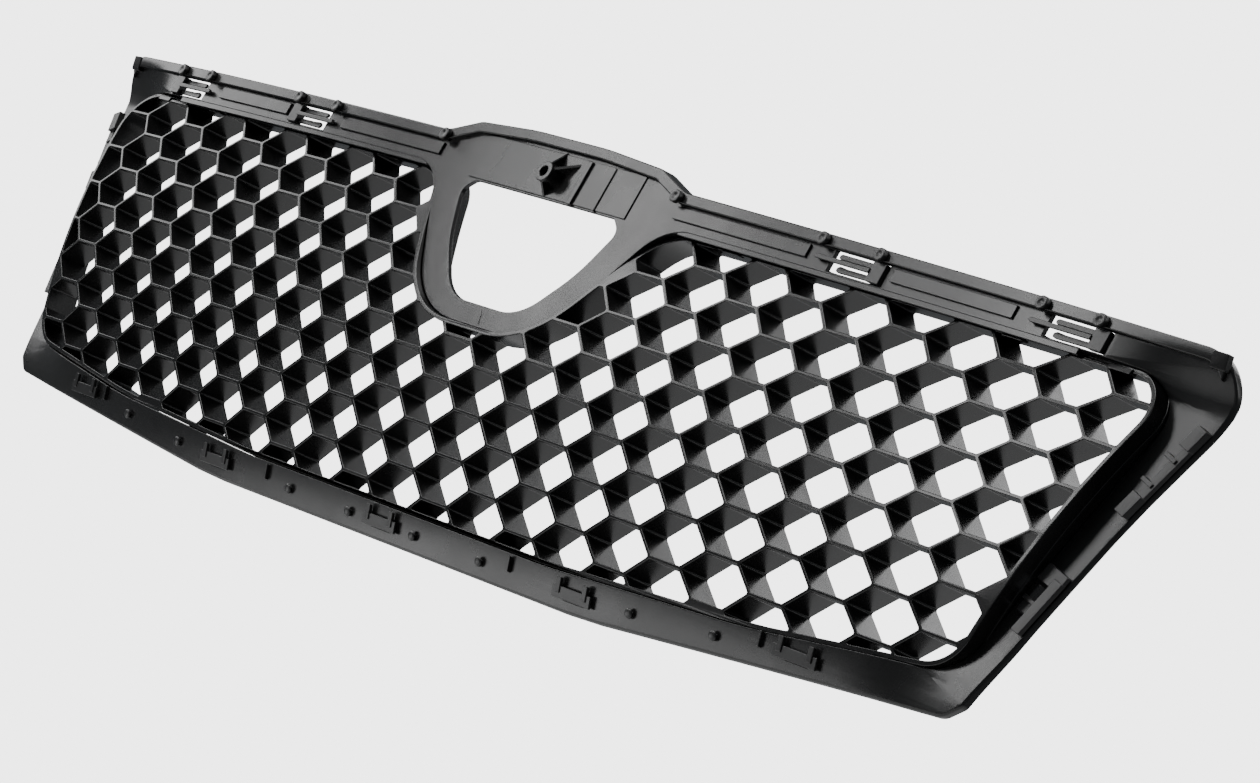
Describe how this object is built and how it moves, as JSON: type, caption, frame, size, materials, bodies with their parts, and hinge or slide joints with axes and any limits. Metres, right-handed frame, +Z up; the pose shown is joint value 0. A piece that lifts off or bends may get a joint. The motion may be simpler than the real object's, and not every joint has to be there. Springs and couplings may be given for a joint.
{
  "type": "front grille",
  "caption": "Black moulded car front grille with a honeycomb insert and a shield-shaped opening for a badge under a raised hood.",
  "frame": {"origin": "middle of the width, on the honeycomb's plane of rows, just ahead of its face", "axes": "+X along the width to the grille's right in the fixing-side view, +Z up as installed, the fixing side faces -Y"},
  "size_m": [0.8442, 0.0702, 0.21],
  "materials": {
    "frame_plastic": "semi-gloss injection-moulded black",
    "honeycomb_plastic": "gloss injection-moulded black",
    "fixing_plastic": "satin black"
  },
  "bodies": {
    "grille": {"bottom_latch_1": "fixing_plastic", "bottom_latch_2": "fixing_plastic", "bottom_latch_3": "fixing_plastic", "bottom_latch_4": "fixing_plastic", "bottom_latch_5": "fixing_plastic", "carrier_frame": "frame_plastic", "honeycomb_centre": "honeycomb_plastic", "honeycomb_left": "honeycomb_plastic", "honeycomb_right": "honeycomb_plastic", "lower_side_clip_left": "fixing_plastic", "lower_side_clip_right": "fixing_plastic", "lower_stud_1": "fixing_plastic", "lower_stud_2": "fixing_plastic", "lower_stud_3": "fixing_plastic", "lower_stud_4": "fixing_plastic", "lower_stud_5": "fixing_plastic", "lower_stud_6": "fixing_plastic", "lower_stud_7": "fixing_plastic", "lower_stud_8": "fixing_plastic", "side_retainer_left": "fixing_plastic", "side_retainer_right": "fixing_plastic", "upper_peg_1": "fixing_plastic", "upper_peg_10": "fixing_plastic", "upper_peg_2": "fixing_plastic", "upper_peg_3": "fixing_plastic", "upper_peg_4": "fixing_plastic", "upper_peg_5": "fixing_plastic", "upper_peg_6": "fixing_plastic", "upper_peg_7": "fixing_plastic", "upper_peg_8": "fixing_plastic", "upper_peg_9": "fixing_plastic", "window_clip_left_inner": "fixing_plastic", "window_clip_left_outer": "fixing_plastic", "window_clip_right_inner": "fixing_plastic", "window_clip_right_outer": "fixing_plastic"},
    "clip_finger_left_inner_body": {"clip_finger_left_inner": "fixing_plastic"},
    "clip_finger_left_outer_body": {"clip_finger_left_outer": "fixing_plastic"},
    "clip_finger_right_inner_body": {"clip_finger_right_inner": "fixing_plastic"},
    "clip_finger_right_outer_body": {"clip_finger_right_outer": "fixing_plastic"}
  },
  "joints": [
    {"name": "clip_finger_left_inner_flex", "type": "hinge", "parent": "grille", "child": "clip_finger_left_inner_body", "pos_m": [-0.2209, 0.0272, 0.0886], "axis": [0, 0, 1], "range_deg": [0, 8], "stiffness_Nm_per_rad": 0.1},
    {"name": "clip_finger_left_outer_flex", "type": "hinge", "parent": "grille", "child": "clip_finger_left_outer_body", "pos_m": [-0.3492, 0.0408, 0.0886], "axis": [0, 0, 1], "range_deg": [0, 8], "stiffness_Nm_per_rad": 0.1},
    {"name": "clip_finger_right_inner_flex", "type": "hinge", "parent": "grille", "child": "clip_finger_right_inner_body", "pos_m": [0.2209, 0.0272, 0.0886], "axis": [0, 0, -1], "range_deg": [0, 8], "stiffness_Nm_per_rad": 0.1},
    {"name": "clip_finger_right_outer_flex", "type": "hinge", "parent": "grille", "child": "clip_finger_right_outer_body", "pos_m": [0.3492, 0.0408, 0.0886], "axis": [0, 0, -1], "range_deg": [0, 8], "stiffness_Nm_per_rad": 0.1}
  ]
}
